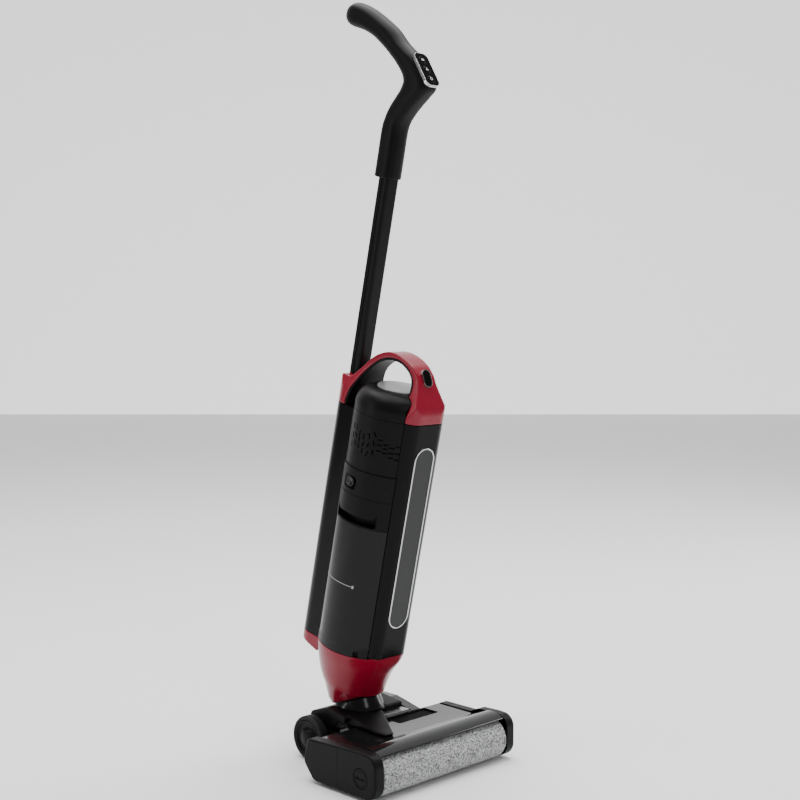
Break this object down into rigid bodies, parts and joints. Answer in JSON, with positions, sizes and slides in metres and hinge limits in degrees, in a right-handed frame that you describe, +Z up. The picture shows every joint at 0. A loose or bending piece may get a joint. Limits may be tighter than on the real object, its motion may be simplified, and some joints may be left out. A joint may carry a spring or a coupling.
{
  "type": "wet dry floor scrubber",
  "caption": "Upright cordless wet and dry floor scrubber with a soaked front roller, slide-out dirty water tank, swivelling neck, slim pole and bent grip.",
  "frame": {"origin": "on the floor under the middle of the machine's overall box, in the parked upright pose", "axes": "+Z up from the floor, -Y towards the front roller, +X towards the belt side of the head"},
  "size_m": [0.28, 0.2856, 1.0887],
  "materials": {
    "head_base": "satin black moulded ABS",
    "head_cover": "smoky transparent gloss",
    "cover_window": "dark gloss",
    "hood_button": "silver grey satin",
    "side_cap_right": "satin black",
    "side_cap_left": "satin black",
    "wheel_guard": "smoky grey gloss",
    "scraper_blade": "matt silicone",
    "spray_bar": "natural satin",
    "suction_duct": "dark red gloss",
    "brush_motor": "zinc plated can",
    "motor_pulley": "machined",
    "drive_pulley": "natural acetal",
    "drive_belt": "matt toothed rubber",
    "wheel_axle": "ground steel",
    "head_screws": "zinc plated",
    "roller_sleeve": "grey speckled microfibre pile",
    "roller_core": "black",
    "roller_end_cover": "satin black",
    "release_disc": "satin black",
    "wheel_hub_left": "satin black",
    "wheel_hub_right": "satin black",
    "tyre_left": "matt soft rubber",
    "tyre_right": "matt soft rubber",
    "neck_yoke": "fine textured black",
    "swivel_collar": "semi-gloss black",
    "neck_hose": "flexible black",
    "base_funnel": "gloss crimson",
    "swivel_ring": "black acetal",
    "spine_shell": "satin gloss black",
    "front_column": "gloss black",
    "level_loop": "bright chrome",
    "level_insert": "grey satin",
    "clean_tank": "translucent",
    "carry_arch": "gloss crimson",
    "arch_liner": "black grip lining",
    "arch_button": "gloss black",
    "motor_housing": "satin black",
    "top_disc": "light grey satin",
    "suction_motor": "cast shell",
    "impeller": "machined",
    "battery_pack": "shrink wrapped cells",
    "circuit_board": "green laminate",
    "water_pump": "black",
    "charge_socket": "black",
    "foot_cap": "gloss crimson",
    "park_tab": "black",
    "dirty_tank": "smoked transparent",
    "tank_foot": "black",
    "filter_housing": "satin black",
    "tank_filter": "pleated filter paper",
    "tank_float": "orange",
    "latch_button": "black",
    "pole": "satin black anodised tube",
    "handle_left": "satin black",
    "handle_right": "satin black",
    "panel_face": "gloss black with a silver rim",
    "button_mode": "gloss black with a white icon",
    "button_clean": "gloss black with a white icon",
    "button_power": "gloss black with a white icon"
  },
  "bodies": {
    "head": {"head_base": "head_base", "head_cover": "head_cover", "cover_window": "cover_window", "side_cap_right": "side_cap_right", "side_cap_left": "side_cap_left", "wheel_guard": "wheel_guard", "scraper_blade": "scraper_blade", "spray_bar": "spray_bar", "suction_duct": "suction_duct", "brush_motor": "brush_motor", "drive_belt": "drive_belt", "wheel_axle": "wheel_axle", "head_screws": "head_screws"},
    "hood_button": {"hood_button": "hood_button"},
    "motor_pulley": {"motor_pulley": "motor_pulley"},
    "drive_pulley": {"drive_pulley": "drive_pulley"},
    "roller_cassette": {"roller_end_cover": "roller_end_cover"},
    "release_disc": {"release_disc": "release_disc"},
    "roller": {"roller_sleeve": "roller_sleeve", "roller_core": "roller_core"},
    "wheel_left": {"wheel_hub_left": "wheel_hub_left", "tyre_left": "tyre_left"},
    "wheel_right": {"wheel_hub_right": "wheel_hub_right", "tyre_right": "tyre_right"},
    "yoke": {"neck_yoke": "neck_yoke", "swivel_collar": "swivel_collar", "neck_hose": "neck_hose"},
    "upright": {"base_funnel": "base_funnel", "swivel_ring": "swivel_ring", "spine_shell": "spine_shell", "front_column": "front_column", "level_loop": "level_loop", "level_insert": "level_insert", "clean_tank": "clean_tank", "carry_arch": "carry_arch", "arch_liner": "arch_liner", "motor_housing": "motor_housing", "top_disc": "top_disc", "suction_motor": "suction_motor", "battery_pack": "battery_pack", "circuit_board": "circuit_board", "water_pump": "water_pump", "charge_socket": "charge_socket", "foot_cap": "foot_cap", "park_tab": "park_tab", "pole": "pole", "handle_left": "handle_left", "handle_right": "handle_right", "panel_face": "panel_face"},
    "impeller": {"impeller": "impeller"},
    "arch_button": {"arch_button": "arch_button"},
    "tank": {"dirty_tank": "dirty_tank", "tank_foot": "tank_foot", "filter_housing": "filter_housing", "tank_filter": "tank_filter"},
    "float": {"tank_float": "tank_float"},
    "latch": {"latch_button": "latch_button"},
    "button_mode": {"button_mode": "button_mode"},
    "button_clean": {"button_clean": "button_clean"},
    "button_power": {"button_power": "button_power"}
  },
  "joints": [
    {"name": "neck_pitch", "type": "hinge", "parent": "head", "child": "yoke", "pos_m": [0, 0.06616, 0.032], "axis": [-1, 0, 0], "range_deg": [0, 65]},
    {"name": "neck_swivel", "type": "hinge", "parent": "yoke", "child": "upright", "pos_m": [0, 0.04816, 0.079], "axis": [0, 0.3256, 0.9455], "range_deg": [-40, 40]},
    {"name": "wheel_left_spin", "type": "hinge", "parent": "head", "child": "wheel_left", "pos_m": [-0.072, 0.06616, 0.032], "axis": [1, 0, 0], "continuous": true},
    {"name": "wheel_right_spin", "type": "hinge", "parent": "head", "child": "wheel_right", "pos_m": [0.072, 0.06616, 0.032], "axis": [1, 0, 0], "continuous": true},
    {"name": "cassette_pull", "type": "slide", "parent": "head", "child": "roller_cassette", "axis": [-1, 0, 0], "range_m": [0, 0.27]},
    {"name": "release_turn", "type": "hinge", "parent": "roller_cassette", "child": "release_disc", "pos_m": [-0.138, -0.11184, 0.031], "axis": [-1, 0, 0], "range_deg": [0, 90]},
    {"name": "roller_spin", "type": "hinge", "parent": "roller_cassette", "child": "roller", "pos_m": [0, -0.11184, 0.031], "axis": [1, 0, 0], "continuous": true},
    {"name": "drive_pulley_spin", "type": "hinge", "parent": "head", "child": "drive_pulley", "pos_m": [0.128, -0.11184, 0.031], "axis": [1, 0, 0], "continuous": true},
    {"name": "motor_pulley_spin", "type": "hinge", "parent": "head", "child": "motor_pulley", "pos_m": [0.128, -0.03784, 0.034], "axis": [1, 0, 0], "continuous": true},
    {"name": "hood_button_press", "type": "slide", "parent": "head", "child": "hood_button", "axis": [0, 0, -1], "range_m": [0, 0.003], "stiffness_N_per_m": 700},
    {"name": "tank_pull", "type": "slide", "parent": "upright", "child": "tank", "axis": [-1, 0, 0], "range_m": [0, 0.15]},
    {"name": "tank_float_slide", "type": "slide", "parent": "tank", "child": "float", "axis": [0, -0.2198, 0.9755], "range_m": [0, 0.12]},
    {"name": "tank_latch_press", "type": "slide", "parent": "tank", "child": "latch", "axis": [1, 0, 0], "range_m": [0, 0.003], "stiffness_N_per_m": 600},
    {"name": "impeller_spin", "type": "hinge", "parent": "upright", "child": "impeller", "pos_m": [0, -0.02252, 0.4528], "axis": [0, -0.2198, 0.9755], "continuous": true},
    {"name": "arch_button_press", "type": "slide", "parent": "upright", "child": "arch_button", "axis": [0, 0.9438, -0.3305], "range_m": [0, 0.002], "stiffness_N_per_m": 600},
    {"name": "button_mode_press", "type": "slide", "parent": "upright", "child": "button_mode", "axis": [0, 0.8545, -0.5195], "range_m": [0, 0.0015], "stiffness_N_per_m": 500},
    {"name": "button_clean_press", "type": "slide", "parent": "upright", "child": "button_clean", "axis": [0, 0.8545, -0.5195], "range_m": [0, 0.0015], "stiffness_N_per_m": 500},
    {"name": "button_power_press", "type": "slide", "parent": "upright", "child": "button_power", "axis": [0, 0.8545, -0.5195], "range_m": [0, 0.0015], "stiffness_N_per_m": 500}
  ],
  "couplings": [
    {"joint": "drive_pulley_spin", "follows": "roller_spin", "ratio": 1},
    {"joint": "motor_pulley_spin", "follows": "roller_spin", "ratio": 2}
  ]
}
